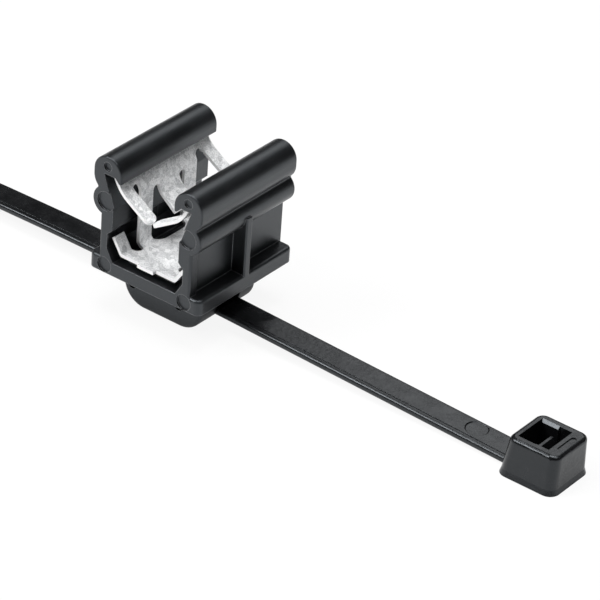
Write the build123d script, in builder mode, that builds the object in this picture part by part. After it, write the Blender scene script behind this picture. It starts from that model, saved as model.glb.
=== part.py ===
from build123d import *
import math
import os

# Edge clip with a cable tie through its saddle. Millimetres, +Z up, z = 0 is the table.
# X runs along the tie towards its head, Y along the panel edge that the clip grips.

# Clip body: plan
clip_length = 20.4
channel_width = 11.6
wall_thickness = 1.7
flange_ledge = 2.25
flange_corner = 1.0
rib_width = 1.25
rib_round = 0.25
post_length = 1.7
post_proud = 0.45
post_round = 0.35

# Clip body: heights above the underside of the flanges
flange_thickness = 2.3
flange_round = 0.45
floor_thickness = 2.0
seat_height = 1.0
seat_setback = 1.0
seat_width = 8.0
undercut_depth = 0.95
undercut_foot = 0.3
undercut_rise = 2.1
undercut_height = 4.1
throat_height = 10.2
arm_height = 18.1

# Clip body: lip bars at the top of the arms and the beads below them
bar_radius = 2.4
bar_inset = 1.2
bar_flat = 0.85
bead_radius = 2.25
bead_inset = 0.35
bead_drop = 4.55
bar_end_round = 0.2
neck_round = 0.3
lip_round = 0.25
lip_drop = 1.5
pocket_depth = 1.75
pocket_drop = 0.3

# Clip body: saddle under the floor, which the strap passes through
saddle_length = 13.8
saddle_width = 12.1
saddle_round = 3.7
saddle_edge_round = 0.6
saddle_wall = 1.5
saddle_roof = 3.0
saddle_clearance = 0.15

# Clip body: round ejector marks in the near faces
mark_depth = 0.3
bar_mark_radius = 0.7
bar_mark_rise = 0.9
bead_mark_radius = 1.45
base_mark_radius = 1.2
saddle_mark_radius = 0.7
saddle_mark_pitch = 8.2
saddle_mark_shift = -1.1

# Spring clamp: bent sheet, with its side walls standing off the channel's walls
sheet = 0.5
clamp_setback = 0.8
clamp_gap = 0.85
bend_radius = 0.9
clamp_top_gap = 0.35
lean_height = 3.0
side_lean = 1.6
leg_width = 2.0
end_slot_width = 1.5
end_slot_drop = 1.85
leg_root_drop = 0.9
leg_bend = 5.0
leg_slope = 32
leg_gap = 0.4
leg_tip_round = 0.9
tongue_width = 4.2
tongue_slot_width = 1.25
tongue_slot_drop = 3.3
tongue_root_drop = 3.2
tongue_bend = 2.5
tongue_slope = 38
tongue_gap = 3.0
window_reach = 1.7
notch_reach = 1.35
end_flange_height = 2.3
end_flange_lean = 1.5
tab_width = 2.8
tab_length = 0.55

# Cable tie: strap, which crests over the table beside the saddle
tie_length = 200.0
strap_width = 4.8
strap_thickness = 1.05
band_width = 3.3
band_rise = 0.1
rim_round = 0.45
crest_offset = 16.0
crest_radius = 780.0
landing_radius = 700.0
head_end_lift = 0.1
tip_length = 13.0
tip_width = 2.4
tip_round = 0.8
tooth_pitch = 1.2
tooth_depth = 0.3
tooth_crest_gap = 0.1
channel_rail = 0.6
teeth_from_head = 18.0
disc_radius = 1.5
disc_from_head = 6.7
disc_offset = 0.35
disc_depth = 0.14
disc_draft = 50

# Cable tie: head
head_distance = 55.5
head_length = 8.6
head_width = 8.4
head_height = 5.85
strap_side_draft = 0.75
head_draft = 0.25
head_corner = 1.3
head_round = 0.6
foot_height = 0.8
foot_proud = 0.25
strap_root = 0.8
end_wall = 2.15
passage_gap = 0.85
passage_side_gap = 0.3
pawl_room = 2.75
room_chamfer = 0.4
pawl_side_gap = 0.1
pawl_thickness = 1.1
pawl_reach = 0.3
pawl_teeth = 2
pawl_foot = 1.2
pawl_top_gap = 1.25
pawl_tip = 0.4
pawl_tip_setback = 0.15
recess_length = 3.8
recess_width = 0.8
recess_inset = 1.15
recess_depth = 0.15

os.makedirs("parts", exist_ok=True)

# Strap line, from which the saddle's slot and its height follow
crest_x = -crest_offset
saddle_end_run = saddle_length / 2 + crest_offset
strap_fall = crest_radius - math.sqrt(crest_radius**2 - saddle_end_run**2)
crest_z = saddle_wall + saddle_clearance + strap_fall
slot_top = crest_z + strap_thickness + band_rise + saddle_clearance
climb_angle = math.degrees(math.acos(1 - crest_z / (crest_radius + landing_radius)))
landing_x = crest_x - (crest_radius + landing_radius) * math.sin(math.radians(climb_angle))
head_far_x = head_distance + head_length
tail_x = head_far_x - tie_length
root_run = head_distance + strap_root - crest_x
root_drop = crest_radius - (crest_z - head_end_lift)
root_reach = math.hypot(root_run, root_drop)
head_run = math.sqrt(root_reach**2 - crest_radius**2)
head_angle = math.degrees(math.atan2(root_run, root_drop) - math.acos(crest_radius / root_reach))

# Clip body places
base_z = slot_top + saddle_roof
half_channel = channel_width / 2
half_length = clip_length / 2
wall_x = half_channel + wall_thickness
flange_x = wall_x + flange_ledge
bar_x = half_channel + bar_inset
bar_z = base_z + arm_height - bar_radius
bead_x = wall_x - bead_inset
bead_z = bar_z - bead_drop
bar_foot_z = bar_z - bar_flat
neck_z = (bead_z + bar_foot_z) / 2
floor_z = base_z + floor_thickness
seat_z = floor_z + seat_height
undercut_x = half_channel + undercut_depth
undercut_z = floor_z + undercut_height
throat_z = base_z + throat_height
pocket_x = half_channel + pocket_depth
pocket_z = bar_z - pocket_drop
lip_x = bar_x - bar_radius
lip_z = bar_z - lip_drop

# Spring clamp places, along the middle of the sheet
clamp_length = clip_length - 2 * clamp_setback
plate_z = seat_z + sheet / 2
plate_top = seat_z + sheet
side_x = half_channel - clamp_gap - sheet / 2
clamp_top = pocket_z - clamp_top_gap
lean_z = clamp_top - lean_height
lean_angle = math.degrees(math.atan2(lean_height, side_lean))
leg_y = (clamp_length - leg_width) / 2
strip_edge = clamp_length / 2 - leg_width - end_slot_width
window_width = tongue_width + 2 * tongue_slot_width

# Cable tie places
head_x = head_distance + head_length / 2
passage = strap_thickness + band_rise + passage_gap
passage_x = head_far_x - end_wall - passage
pawl_tip_x = passage_x - pawl_tip_setback
pawl_top = head_height - pawl_top_gap
tooth_count = int((head_distance - teeth_from_head - tail_x - tip_length) / tooth_pitch)


# Right half of the channel's outline, with the undercut foot and the pocket under the lip
def channel_outline():
    Polyline(
        (0, floor_z),
        (half_channel - undercut_foot, floor_z),
        (undercut_x, floor_z + undercut_rise),
        (undercut_x, undercut_z),
        (half_channel, undercut_z + undercut_depth),
        (half_channel, throat_z),
        (pocket_x, pocket_z),
        (half_channel, pocket_z),
        (lip_x, lip_z),
        (0, lip_z),
        close=True,
    )


# Clip body
with BuildPart() as clip_body:
    # Base plate, whose rounded upper rim shows along both flanges
    with BuildSketch(Plane.XY.offset(base_z)):
        RectangleRounded(2 * flange_x, clip_length, flange_corner)
    extrude(amount=flange_thickness)
    fillet(clip_body.edges().group_by(Axis.Z)[-1], flange_round)

    # Hooked arms in one profile, and the channel cut through the plate between them
    with BuildSketch(Plane.XZ) as arm_profile:
        with BuildLine():
            Polyline(
                (0, base_z),
                (wall_x, base_z),
                (wall_x, bar_foot_z),
                (bar_x + bar_radius, bar_foot_z),
                (bar_x + bar_radius, bar_z),
                (lip_x, bar_z),
                (lip_x, lip_z),
                (0, lip_z),
                close=True,
            )
        make_face()
        with Locations((bar_x, bar_z), (bar_x, bar_foot_z)):
            Circle(bar_radius)
        with Locations((bead_x, bead_z)):
            Circle(bead_radius)
        with BuildLine():
            channel_outline()
        make_face(mode=Mode.SUBTRACT)
        mirror(about=Plane.YZ)
        lip_tips = arm_profile.vertices().filter_by(
            lambda corner: abs(corner.Y - lip_z) < lip_round and abs(corner.X) > lip_x - lip_round
        )
        fillet(lip_tips, lip_round)
        necks = arm_profile.vertices().filter_by(
            lambda corner: abs(corner.X) > wall_x and abs(corner.Y - neck_z) < neck_round
        )
        fillet(necks, neck_round)
    extrude(amount=half_length, both=True)
    bar_ends = clip_body.edges().filter_by(GeomType.CIRCLE).filter_by(
        lambda edge: abs(abs(edge.center().Y) - half_length) < bar_end_round
        and edge.center().Z > undercut_z
        and edge.radius > 2 * lip_round
    )
    fillet(bar_ends, bar_end_round)
    with BuildSketch(Plane.XZ):
        with BuildLine():
            channel_outline()
        make_face()
        mirror(about=Plane.YZ)
    extrude(amount=clip_length, both=True, mode=Mode.SUBTRACT)

    # Rib in the middle of each side, and a post at the near end
    with BuildSketch(Plane.XY.offset(base_z)) as side_ribs:
        Rectangle(2 * flange_x, rib_width)
        fillet(side_ribs.vertices(), rib_round)
        with Locations((0, post_length / 2 - half_length)):
            RectangleRounded(2 * (wall_x + post_proud), post_length, post_round)
        Rectangle(2 * wall_x - wall_thickness, clip_length, mode=Mode.SUBTRACT)
    extrude(amount=bead_z - base_z)

    # Seat that carries the clamp's base plate
    with BuildSketch(Plane.XY.offset(floor_z)):
        Rectangle(seat_width, clamp_length - 2 * seat_setback)
    extrude(amount=seat_height)

    # Saddle block with the strap's slot right through it
    with BuildSketch(Plane.XZ) as saddle_profile:
        Rectangle(saddle_length, base_z, align=(Align.CENTER, Align.MIN))
        fillet(saddle_profile.vertices().group_by(Axis.Y)[0], saddle_round)
    extrude(amount=saddle_width / 2, both=True)
    saddle_rims = clip_body.faces().filter_by(Axis.Y).edges().filter_by(
        lambda edge: edge.center().Z < base_z - saddle_edge_round
    )
    fillet(saddle_rims, saddle_edge_round)
    with BuildSketch(Plane.YZ):
        with Locations((0, saddle_wall)):
            Rectangle(
                strap_width + 2 * saddle_clearance,
                slot_top - saddle_wall,
                align=(Align.CENTER, Align.MIN),
            )
    extrude(amount=saddle_length, both=True, mode=Mode.SUBTRACT)

    # Shallow round ejector marks in the near faces
    with BuildSketch(Plane.XZ.offset(half_length - mark_depth)):
        for side in (-1, 1):
            with Locations((side * bar_x, bar_z + bar_mark_rise)):
                Circle(bar_mark_radius)
            with Locations((side * bead_x, bead_z)):
                Circle(bead_mark_radius)
            with Locations((side * (half_channel + base_mark_radius), base_z + base_mark_radius)):
                Circle(base_mark_radius)
    extrude(amount=mark_depth, mode=Mode.SUBTRACT)
    with BuildSketch(Plane.XZ.offset(saddle_width / 2 - mark_depth)):
        for side in (-1, 1):
            with Locations((saddle_mark_shift + side * saddle_mark_pitch / 2, slot_top)):
                Circle(saddle_mark_radius)
    extrude(amount=mark_depth, mode=Mode.SUBTRACT)

clip_body.part.label = "clip_body"
export_step(clip_body.part, "parts/clip_body.step")


# Spring clamp
with BuildPart() as spring_clamp:
    # Base plate and leaning side walls
    with BuildSketch(Plane.XZ):
        with BuildLine():
            FilletPolyline(
                (0, plate_z),
                (side_x, plate_z),
                (side_x, lean_z),
                (side_x + side_lean, clamp_top),
                radius=bend_radius,
            )
        trace(line_width=sheet)
        mirror(about=Plane.YZ)
    extrude(amount=clamp_length / 2, both=True)

    # Slots between strips, legs and tongues, cut through both side walls
    with BuildSketch(Plane.YZ):
        for side in (-1, 1):
            with Locations((side * (strip_edge + end_slot_width / 2), plate_top)):
                end_slot_height = clamp_top - end_slot_drop - end_slot_width / 2 - plate_top
                Rectangle(end_slot_width, end_slot_height, align=(Align.CENTER, Align.MIN))
                with Locations((0, end_slot_height)):
                    Circle(end_slot_width / 2)
            with Locations((side * leg_y, plate_top)):
                leg_opening = clamp_top - leg_root_drop - plate_top
                Rectangle(leg_width, leg_opening, align=(Align.CENTER, Align.MIN))
            with Locations((side * (tongue_width + tongue_slot_width) / 2, plate_top)):
                slot_height = clamp_top - tongue_slot_drop - tongue_slot_width / 2 - plate_top
                Rectangle(tongue_slot_width, slot_height, align=(Align.CENTER, Align.MIN))
                with Locations((0, slot_height)):
                    Circle(tongue_slot_width / 2)
        with Locations((0, plate_top)):
            tongue_opening = clamp_top - tongue_root_drop - plate_top
            Rectangle(tongue_width, tongue_opening, align=(Align.CENTER, Align.MIN))
    extrude(amount=2 * half_channel, both=True, mode=Mode.SUBTRACT)

    # Rounded windows and relief notches that reach into the base plate
    with BuildSketch(Plane.XY.offset(seat_z)):
        for side in (-1, 1):
            with Locations((side * 2 * half_channel, 0)):
                window_length = 4 * half_channel - 2 * (side_x - window_reach)
                RectangleRounded(window_length, window_width, window_reach)
            for end in (-1, 1):
                with Locations((side * side_x, end * (strip_edge + end_slot_width / 2))):
                    SlotOverall(2 * notch_reach, end_slot_width)
                with Locations((side * side_x, end * leg_y)):
                    Rectangle(2 * bend_radius, leg_width)
    extrude(amount=sheet, mode=Mode.SUBTRACT)

    # Corner flanges that lean outwards from the base plate
    with BuildSketch(Plane.XZ.offset(-leg_y)):
        with BuildLine():
            FilletPolyline(
                (side_x - 2 * bend_radius, plate_z),
                (side_x, plate_z),
                (side_x + end_flange_lean, plate_z + end_flange_height),
                radius=bend_radius / 2,
            )
        trace(line_width=sheet)
        mirror(about=Plane.YZ)
    extrude(amount=leg_width / 2, both=True)

    # Legs that spring down from the tops of the side walls, at both ends
    with BuildSketch(Plane.XZ.offset(-leg_y)) as leg_profile:
        with BuildLine():
            leg_top = Line(
                (side_x + side_lean, clamp_top),
                (
                    side_x + side_lean * (1 - leg_root_drop / lean_height),
                    clamp_top - leg_root_drop,
                ),
            )
            leg_curve = JernArc(leg_top @ 1, leg_top % 1, leg_bend, leg_slope - lean_angle)
            leg_run = ((leg_curve @ 1).X - leg_gap / 2) / math.cos(math.radians(leg_slope))
            PolarLine(leg_curve @ 1, leg_run, direction=leg_curve % 1)
        trace(line_width=sheet)
        mirror(about=Plane.YZ)
    extrude(amount=leg_width / 2, both=True)
    leg_corners = spring_clamp.edges().filter_by(
        lambda edge: abs(edge.center().X) < leg_gap + sheet and edge.length < leg_width / 2
    )
    fillet(leg_corners, leg_tip_round)
    mirror(about=Plane.XZ)

    # Middle tongues that curve down from the side walls
    with BuildSketch(Plane.XZ):
        with BuildLine():
            tongue_top = Line(
                (side_x, clamp_top - tongue_root_drop + sheet / 2),
                (side_x, clamp_top - tongue_root_drop),
            )
            tongue_curve = JernArc(tongue_top @ 1, tongue_top % 1, tongue_bend, tongue_slope - 90)
            tongue_run = (tongue_curve @ 1).X - tongue_gap / 2
            PolarLine(
                tongue_curve @ 1,
                tongue_run / math.cos(math.radians(tongue_slope)),
                direction=tongue_curve % 1,
            )
        trace(line_width=sheet)
        mirror(about=Plane.YZ)
    extrude(amount=tongue_width / 2, both=True)

    # Small tab in the middle of each end of the base plate
    with BuildSketch(Plane.XY.offset(seat_z)):
        Rectangle(tab_width, clamp_length + 2 * tab_length)
    extrude(amount=sheet)

spring_clamp.part.label = "spring_clamp"
export_step(spring_clamp.part, "parts/spring_clamp.step")


# Side line of the strap at a level above its underside, from the tail to the head
def strap_line(level):
    tail = Line((tail_x, level), (landing_x, level))
    landing = JernArc(tail @ 1, tail % 1, landing_radius - level, climb_angle)
    crest = JernArc(landing @ 1, landing % 1, crest_radius + level, -climb_angle - head_angle)
    return PolarLine(crest @ 1, head_run, direction=crest % 1)


with BuildLine(mode=Mode.PRIVATE) as underside_line:
    strap_line(0)
underside = underside_line.wires()[0]


# Point inside the strap, at a run from its tail and a depth above its underside
def strap_point(run, depth):
    along = underside.tangent_at(run, position_mode=PositionMode.LENGTH)
    foot = underside.position_at(run, position_mode=PositionMode.LENGTH)
    return foot + depth * Vector(-along.Y, along.X)


# Cable tie
with BuildPart() as cable_tie:
    # Strap with rounded upper rims and a raised flat band between them
    with BuildSketch(Plane.XZ):
        with BuildLine():
            strap_line(strap_thickness / 2)
        trace(line_width=strap_thickness)
    extrude(amount=strap_width / 2, both=True)
    side_edges = cable_tie.faces().filter_by(Axis.Y).edges()
    upper_rims = side_edges.filter_by(
        lambda edge: edge.length > strap_thickness + rim_round
        and edge.center().Z > strap_thickness - rim_round
    )
    fillet(upper_rims, rim_round)
    with BuildSketch(Plane.XZ):
        with BuildLine():
            strap_line(strap_thickness)
        trace(line_width=2 * band_rise)
    extrude(amount=band_width / 2, both=True)

    # Ratchet teeth in a channel along the underside
    with BuildSketch(Plane.XZ):
        with BuildLine():
            teeth = [strap_point(tip_length, -tooth_depth)]
            for tooth in range(tooth_count):
                run = tip_length + tooth * tooth_pitch
                teeth.append(strap_point(run, tooth_crest_gap))
                teeth.append(strap_point(run + tooth_pitch, tooth_crest_gap + tooth_depth))
            teeth.append(strap_point(tip_length + tooth_count * tooth_pitch, -tooth_depth))
            Polyline(teeth, close=True)
        make_face()
    extrude(amount=strap_width / 2 - channel_rail, both=True, mode=Mode.SUBTRACT)

    # Tapered tail tip with a rounded end
    with BuildSketch(Plane.XY) as tip_waste:
        with Locations((tail_x, 0)):
            Rectangle(2 * tip_length, 2 * strap_width)
        with BuildLine():
            Polyline(
                (tail_x, -tip_width / 2),
                (tail_x, tip_width / 2),
                (tail_x + tip_length, strap_width / 2),
                (tail_x + tip_length, -strap_width / 2),
                close=True,
            )
        make_face(mode=Mode.SUBTRACT)
        inner_corners = tip_waste.vertices().filter_by(
            lambda corner: abs(corner.X - tail_x) < tip_round and abs(corner.Y) < strap_width / 2
        )
        fillet(inner_corners, tip_round)
    extrude(amount=2 * strap_thickness, mode=Mode.SUBTRACT)

    # Shallow round recess in the band, near the head
    disc_run = underside.length - strap_root - disc_from_head
    disc_centre = strap_point(disc_run, strap_thickness + band_rise - disc_depth)
    disc_up = Vector(math.sin(math.radians(head_angle)), 0, math.cos(math.radians(head_angle)))
    disc_plane = Plane(origin=(disc_centre.X, disc_offset, disc_centre.Y), z_dir=disc_up)
    with BuildSketch(disc_plane):
        Circle(disc_radius)
    extrude(amount=2 * disc_depth, taper=-disc_draft, mode=Mode.SUBTRACT)

    # Head, with a leaning face on the strap's side and a flared foot
    with BuildSketch(Plane.XY):
        with Locations((head_x, 0)):
            RectangleRounded(
                head_length + 2 * foot_proud,
                head_width + 2 * foot_proud,
                head_corner + foot_proud,
            )
    with BuildSketch(Plane.XY.offset(foot_height)):
        with Locations((head_x, 0)):
            RectangleRounded(head_length, head_width, head_corner)
    with BuildSketch(Plane.XY.offset(head_height)):
        with Locations((head_x + strap_side_draft / 2, 0)):
            RectangleRounded(
                head_length - strap_side_draft, head_width - 2 * head_draft, head_corner
            )
    loft(ruled=True)
    fillet(cable_tie.edges().group_by(Axis.Z)[-1], head_round)

    # Passage for the tail and the narrower room beside it, where the pawl stands
    with BuildSketch(Plane.XY):
        with Locations((passage_x + passage / 2, 0)):
            Rectangle(passage, strap_width + 2 * passage_side_gap)
    extrude(amount=head_height, mode=Mode.SUBTRACT)
    with BuildSketch(Plane.YZ.offset(passage_x)):
        with BuildLine():
            Polyline(
                (0, pawl_foot),
                (strap_width / 2, pawl_foot),
                (strap_width / 2, head_height - room_chamfer),
                (strap_width / 2 + room_chamfer, head_height),
                (0, head_height),
                close=True,
            )
        make_face()
        mirror(about=Plane.YZ)
    extrude(amount=-pawl_room, mode=Mode.SUBTRACT)

    # Pawl, whose teeth lean into the passage and fit the strap's toothed channel
    with BuildSketch(Plane.XZ):
        with BuildLine():
            outline = [(passage_x - pawl_thickness, pawl_foot / 2), (passage_x, pawl_foot / 2)]
            for tooth in range(pawl_teeth):
                root_z = pawl_foot + tooth * tooth_pitch
                outline.append((passage_x + pawl_reach - tooth_depth, root_z))
                outline.append((passage_x + pawl_reach, root_z + tooth_pitch))
            outline.append((pawl_tip_x, pawl_top))
            outline.append((pawl_tip_x - pawl_tip, pawl_top))
            Polyline(outline, close=True)
        make_face()
    extrude(amount=strap_width / 2 - channel_rail - pawl_side_gap, both=True)

    # Long shallow recess in the top, beside the passage
    with BuildSketch(Plane.XY.offset(head_height - recess_depth)):
        with Locations((head_far_x - recess_inset, 0)):
            SlotOverall(recess_length, recess_width, rotation=90)
    extrude(amount=recess_depth, mode=Mode.SUBTRACT)

cable_tie.part.label = "cable_tie"
export_step(cable_tie.part, "parts/cable_tie.step")
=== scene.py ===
import math

import bpy
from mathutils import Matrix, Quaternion, Vector

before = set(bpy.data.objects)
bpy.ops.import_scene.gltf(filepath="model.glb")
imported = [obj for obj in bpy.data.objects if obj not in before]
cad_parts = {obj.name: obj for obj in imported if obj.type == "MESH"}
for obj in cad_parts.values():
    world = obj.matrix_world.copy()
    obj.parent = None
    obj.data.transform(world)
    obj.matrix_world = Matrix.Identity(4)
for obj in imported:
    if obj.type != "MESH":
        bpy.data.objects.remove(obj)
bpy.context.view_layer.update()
scene = bpy.context.scene
scene.view_settings.view_transform = "Standard"
mm = 0.001
print("frame loaded:", ", ".join(sorted(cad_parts)))


# A shader socket that takes part in sums, so that maths on values reads as maths
class Wire:
    def __init__(self, paint, socket):
        self.paint = paint
        self.socket = socket

    def maths(self, operation, first, second):
        return self.paint.node("ShaderNodeMath", {"operation": operation}, {0: first, 1: second})

    def __add__(self, other):
        return self.maths("ADD", self, other)

    def __sub__(self, other):
        return self.maths("SUBTRACT", self, other)

    def __mul__(self, other):
        return self.maths("MULTIPLY", self, other)

    def __rmul__(self, other):
        return self.maths("MULTIPLY", other, self)

    def __abs__(self):
        return self.paint.node("ShaderNodeMath", {"operation": "ABSOLUTE"}, {0: self})


edgeSamples = 6  # rays that feel for an edge beside each point


# One material and its node tree
class Paint:
    def __init__(self, name):
        self.material = bpy.data.materials.new(name)
        self.material.use_nodes = True
        self.tree = self.material.node_tree
        self.tree.nodes.clear()
        self.end = self.tree.nodes.new("ShaderNodeOutputMaterial")

    def node(self, kind, settings=None, values=None, output=0):
        made = self.tree.nodes.new(kind)
        for name, value in (settings or {}).items():
            setattr(made, name, value)
        for name, value in (values or {}).items():
            if isinstance(value, Wire):
                self.tree.links.new(value.socket, made.inputs[name])
            else:
                made.inputs[name].default_value = value
        return Wire(self, made.outputs[output])

    def place(self):  # Object coordinates, in metres
        return self.node("ShaderNodeTexCoord", output="Object")

    def noise(self, size, detail, roughness):  # size of a blotch, in metres
        values = {"Vector": self.place(), "Scale": 1 / size, "Detail": detail, "Roughness": roughness}
        return self.node("ShaderNodeTexNoise", None, values)

    def cells(self, size):  # a random value for each crystal, whose size is in metres
        values = {"Vector": self.place(), "Scale": 1 / size}
        colours = self.node("ShaderNodeTexVoronoi", {"feature": "F1"}, values, "Color")
        return self.node("ShaderNodeSeparateColor", None, {"Color": colours})

    def span(self, value, start, end, first=0.0, last=1.0):  # start to end becomes first to last
        values = {"Value": value, "From Min": start, "From Max": end, "To Min": first, "To Max": last}
        return self.node("ShaderNodeMapRange", {"clamp": True}, values)

    def mix(self, factor, first, last):  # two colours, by the node's colour sockets 6 and 7
        return self.node("ShaderNodeMix", {"data_type": "RGBA"}, {6: first, 7: last, 0: factor}, 2)

    def edges(self, radius, sharp, flat):  # the rounded normal, and 1 along an edge, 0 on a flat face
        rounded = self.node("ShaderNodeBevel", {"samples": edgeSamples}, {"Radius": radius})
        plain = self.node("ShaderNodeNewGeometry", output="Normal")
        values = {0: rounded, 1: plain}
        match = self.node("ShaderNodeVectorMath", {"operation": "DOT_PRODUCT"}, values, "Value")
        return rounded, self.span(match, sharp, flat, 1.0, 0.0)

    def bump(self, height, depth, normal):
        return self.node("ShaderNodeBump", None, {"Height": height, "Distance": depth, "Normal": normal})

    def gloss(self, values):
        return self.node("ShaderNodeBsdfPrincipled", None, values)

    def finish(self, shader):
        self.tree.links.new(shader.socket, self.end.inputs["Surface"])
        return self.material


def grey(level):
    return (level, level, level, 1.0)


def tint(red, green, blue):
    return (red, green, blue, 1.0)


# Satin black nylon of the clip, paler along its edges, which is partly wear and partly a painted
# highlight
clipLook = {
    "dark": tint(0.0035, 0.0037, 0.0042),
    "light": tint(0.0065, 0.0068, 0.0075),
    "highlightWearColour": tint(0.270, 0.275, 0.285),
    "highlightWearGrain": (0.35, 0.60),  # grain that shows as wear and painted highlight
    "highlightWearShare": (0.2, 0.8),
    "roughness": (0.28, 0.42),
    "blotchRange": (0.35, 0.65),  # noise values that most of the surface has
    "grainShare": 0.4,  # of the roughness, beside the cloud's share
    "refraction": 1.62,
    "sheen": tint(0.86, 0.93, 1.00),
    "cloud": (6.0 * mm, 4.0, 0.6),  # blotch size, detail and roughness of a noise
    "grain": (0.17 * mm, 3.0, 0.6),
    "grainDepth": 0.022 * mm,
    "edge": (0.22 * mm, 0.80, 0.99),  # radius, and how alike the normals are from an edge to a flat
}


def clipNylon():
    paint = Paint("clipNylon")
    cloud = paint.noise(*clipLook["cloud"])
    grain = paint.noise(*clipLook["grain"])
    rounded, edge = paint.edges(*clipLook["edge"])
    blotches = clipLook["blotchRange"]
    body = paint.mix(paint.span(cloud, *blotches), clipLook["dark"], clipLook["light"])
    # Paler edges, broken up by grain: partly wear, partly a painted highlight
    highlightWearMask = edge * paint.span(grain, *clipLook["highlightWearGrain"], *clipLook["highlightWearShare"])
    share = clipLook["grainShare"]
    return paint.finish(paint.gloss({
        "Base Color": paint.mix(highlightWearMask, body, clipLook["highlightWearColour"]),
        "Roughness": paint.span((1 - share) * cloud + share * grain, *blotches, *clipLook["roughness"]),
        "IOR": clipLook["refraction"],
        "Specular Tint": clipLook["sheen"],
        "Normal": paint.bump(grain, clipLook["grainDepth"], rounded),
    }))


# Galvanised sheet of the spring clamp, with bright sheared edges
clampLook = {
    "dull": tint(0.50, 0.51, 0.52),
    "bright": tint(0.97, 0.975, 0.98),
    "patchRange": (0.36, 0.62),  # mottle from dull to bright
    "spangleShare": 0.2,  # of the mottle that is crystals
    "sheared": tint(0.98, 0.98, 0.98),
    "shearedShare": 0.85,
    "shearedPolish": 0.4,
    "shearedFacing": (0.7, 0.9),  # how squarely a cut end faces along the panel's edge
    "roughness": (0.30, 0.55),
    "metal": 0.12,
    "spangle": 0.7 * mm,
    "mottle": (0.20 * mm, 4.0, 0.7),
    "mottleDepth": 0.030 * mm,
    "edge": (0.07 * mm, 0.75, 0.98),
}


def clampSteel():
    paint = Paint("clampSteel")
    mottle = paint.noise(*clampLook["mottle"])
    rounded, edge = paint.edges(*clampLook["edge"])
    normal = paint.node("ShaderNodeTexCoord", output="Normal")
    facing = paint.node("ShaderNodeSeparateXYZ", None, {0: normal}, "Y")
    cutEnd = paint.span(abs(facing), *clampLook["shearedFacing"])
    fresh = paint.node("ShaderNodeMath", {"operation": "MAXIMUM"}, {0: edge, 1: cutEnd})
    share = clampLook["spangleShare"]
    mixture = share * paint.cells(clampLook["spangle"]) + (1 - share) * mottle
    patch = paint.span(mixture, *clampLook["patchRange"])
    sheet = paint.mix(patch, clampLook["dull"], clampLook["bright"])
    polished = patch - clampLook["shearedPolish"] * fresh
    return paint.finish(paint.gloss({
        "Base Color": paint.mix(clampLook["shearedShare"] * fresh, sheet, clampLook["sheared"]),
        "Roughness": paint.span(polished, 0.0, 1.0, *clampLook["roughness"]),
        "Metallic": clampLook["metal"],
        "Normal": paint.bump(mottle, clampLook["mottleDepth"], rounded),
    }))


# Semi-gloss black nylon of the cable tie, with a slight ripple and paler edges, partly wear and partly a
# painted highlight
tieLook = {
    "dark": tint(0.004, 0.0042, 0.0047),
    "light": tint(0.008, 0.0083, 0.009),
    # Edge colour: partly wear, partly a painted highlight
    "highlightWearColour": tint(0.045, 0.046, 0.048),
    "highlightWearShare": 0.6,
    "roughness": (0.15, 0.30),
    "blotchRange": (0.35, 0.65),
    "grainShare": 0.3,
    "refraction": 1.48,
    "sheen": tint(0.88, 0.94, 1.00),
    "cloud": (2.2 * mm, 4.0, 0.6),
    "ripple": (0.8 * mm, 2.0, 0.5),
    "rippleDepth": 0.020 * mm,
    "grain": (0.10 * mm, 2.0, 0.5),
    "grainDepth": 0.007 * mm,
    "edge": (0.05 * mm, 0.80, 0.99),
}


def tieNylon():
    paint = Paint("tieNylon")
    cloud = paint.noise(*tieLook["cloud"])
    ripple = paint.noise(*tieLook["ripple"])
    grain = paint.noise(*tieLook["grain"])
    rounded, edge = paint.edges(*tieLook["edge"])
    blotches = tieLook["blotchRange"]
    body = paint.mix(paint.span(cloud, *blotches), tieLook["dark"], tieLook["light"])
    waves = paint.bump(ripple, tieLook["rippleDepth"], rounded)
    share = tieLook["grainShare"]
    return paint.finish(paint.gloss({
        # Paler edges: partly wear, partly a painted highlight
        "Base Color": paint.mix(tieLook["highlightWearShare"] * edge, body, tieLook["highlightWearColour"]),
        "Roughness": paint.span((1 - share) * cloud + share * grain, *blotches, *tieLook["roughness"]),
        "IOR": tieLook["refraction"],
        "Specular Tint": tieLook["sheen"],
        "Normal": paint.bump(grain, tieLook["grainDepth"], waves),
    }))


finishes = {"clip_body": clipNylon(), "spring_clamp": clampSteel(), "cable_tie": tieNylon()}
for name, material in finishes.items():
    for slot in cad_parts[name].material_slots:
        slot.material = material
print("materials on:", ", ".join(finishes))


# Pale table, which glows to the eye and in reflections and still keeps the object's shadow
tableLook = {"half": 2.0, "colour": grey(0.92), "seenGlow": 0.90, "mirrorGlow": 0.30}


def tableTop():
    paint = Paint("tableTop")
    camera = paint.node("ShaderNodeLightPath", output="Is Camera Ray")
    glossy = paint.node("ShaderNodeLightPath", output="Is Glossy Ray")
    lit = paint.node("ShaderNodeBsdfDiffuse", None, {"Color": tableLook["colour"]})
    white = paint.node("ShaderNodeEmission", None, {"Color": grey(1.0), "Strength": 1.0})
    share = tableLook["seenGlow"] * camera + tableLook["mirrorGlow"] * glossy
    return paint.finish(paint.node("ShaderNodeMixShader", None, {0: share, 1: lit, 2: white}))


bpy.ops.mesh.primitive_plane_add(size=2 * tableLook["half"], location=(0, 0, 0))
table = bpy.context.object
table.name = "table"
table.data.materials.append(tableTop())
print("table laid")


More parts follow.
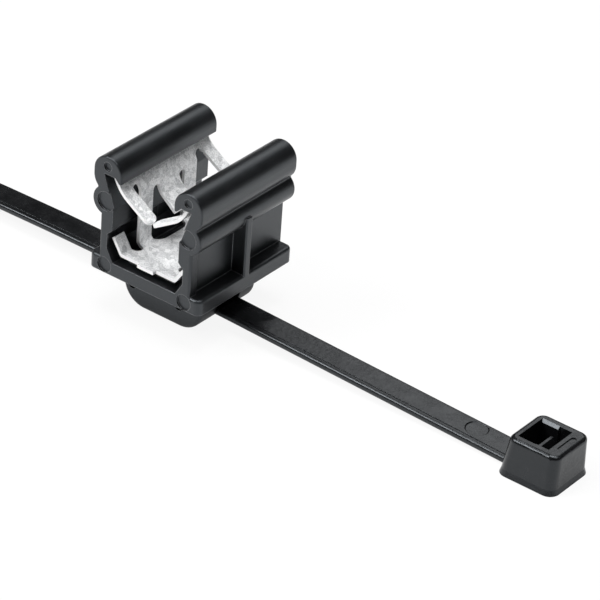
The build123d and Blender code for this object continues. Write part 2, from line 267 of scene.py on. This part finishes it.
# Way out from the object at a bearing, counted from -Y towards +X, and a height, in degrees
def wayOut(bearing, height):
    turn = math.radians(bearing)
    rise = math.radians(height)
    return Vector((math.sin(turn) * math.cos(rise), -math.cos(turn) * math.cos(rise), math.sin(rise)))


# Soft studio light: panels round the clip, whose level sets their brightness, whatever their size
studio = {"target": Vector((0.0, 0.0, 12 * mm)), "distance": 0.9, "world": 0.06}
lamps = {
    "backPanel": {"bearing": 197, "height": 44, "size": 0.42, "level": 1.8},
    "frontPanel": {"bearing": -43, "height": 45, "size": 0.4, "level": 11.0},
    "sidePanel": {"bearing": 95, "height": 72, "size": 0.5, "level": 3.1},
    "topPanel": {"bearing": 250, "height": 85, "size": 0.5, "level": 6.0},
}


def addLamp(name, bearing, height, size, level):
    away = wayOut(bearing, height)
    data = bpy.data.lights.new(name, "AREA")
    data.size = size
    data.energy = level * math.pi * size**2
    lamp = bpy.data.objects.new(name, data)
    lamp.location = studio["target"] + studio["distance"] * away
    lamp.rotation_mode = "QUATERNION"
    lamp.rotation_quaternion = (-away).to_track_quat("-Z", "Y")
    scene.collection.objects.link(lamp)


def addWorld(level):
    world = bpy.data.worlds.new("studio")
    world.use_nodes = True
    background = world.node_tree.nodes["Background"]
    background.inputs["Color"].default_value = grey(1.0)
    background.inputs["Strength"].default_value = level
    scene.world = world


for name, lamp in lamps.items():
    addLamp(name, **lamp)
addWorld(studio["world"])
print("lamps:", ", ".join(lamps))


# Camera at the photograph's viewing angle, in metres, degrees and, for the lens, millimetres
cameraView = {
    "eye": (0.26438, -0.34078, 0.27447),
    "bearing": 35.764,
    "height": 32.348,
    "roll": 4.251,
    "lens": 221.8,
}


def addCamera(eye, bearing, height, roll, lens):
    data = bpy.data.cameras.new("camera")
    data.lens = lens
    camera = bpy.data.objects.new("camera", data)
    camera.location = eye
    camera.rotation_mode = "QUATERNION"
    level = (-wayOut(bearing, height)).to_track_quat("-Z", "Y")
    camera.rotation_quaternion = level @ Quaternion((0, 0, 1), math.radians(roll))
    scene.collection.objects.link(camera)
    scene.camera = camera


addCamera(**cameraView)
print("camera set")
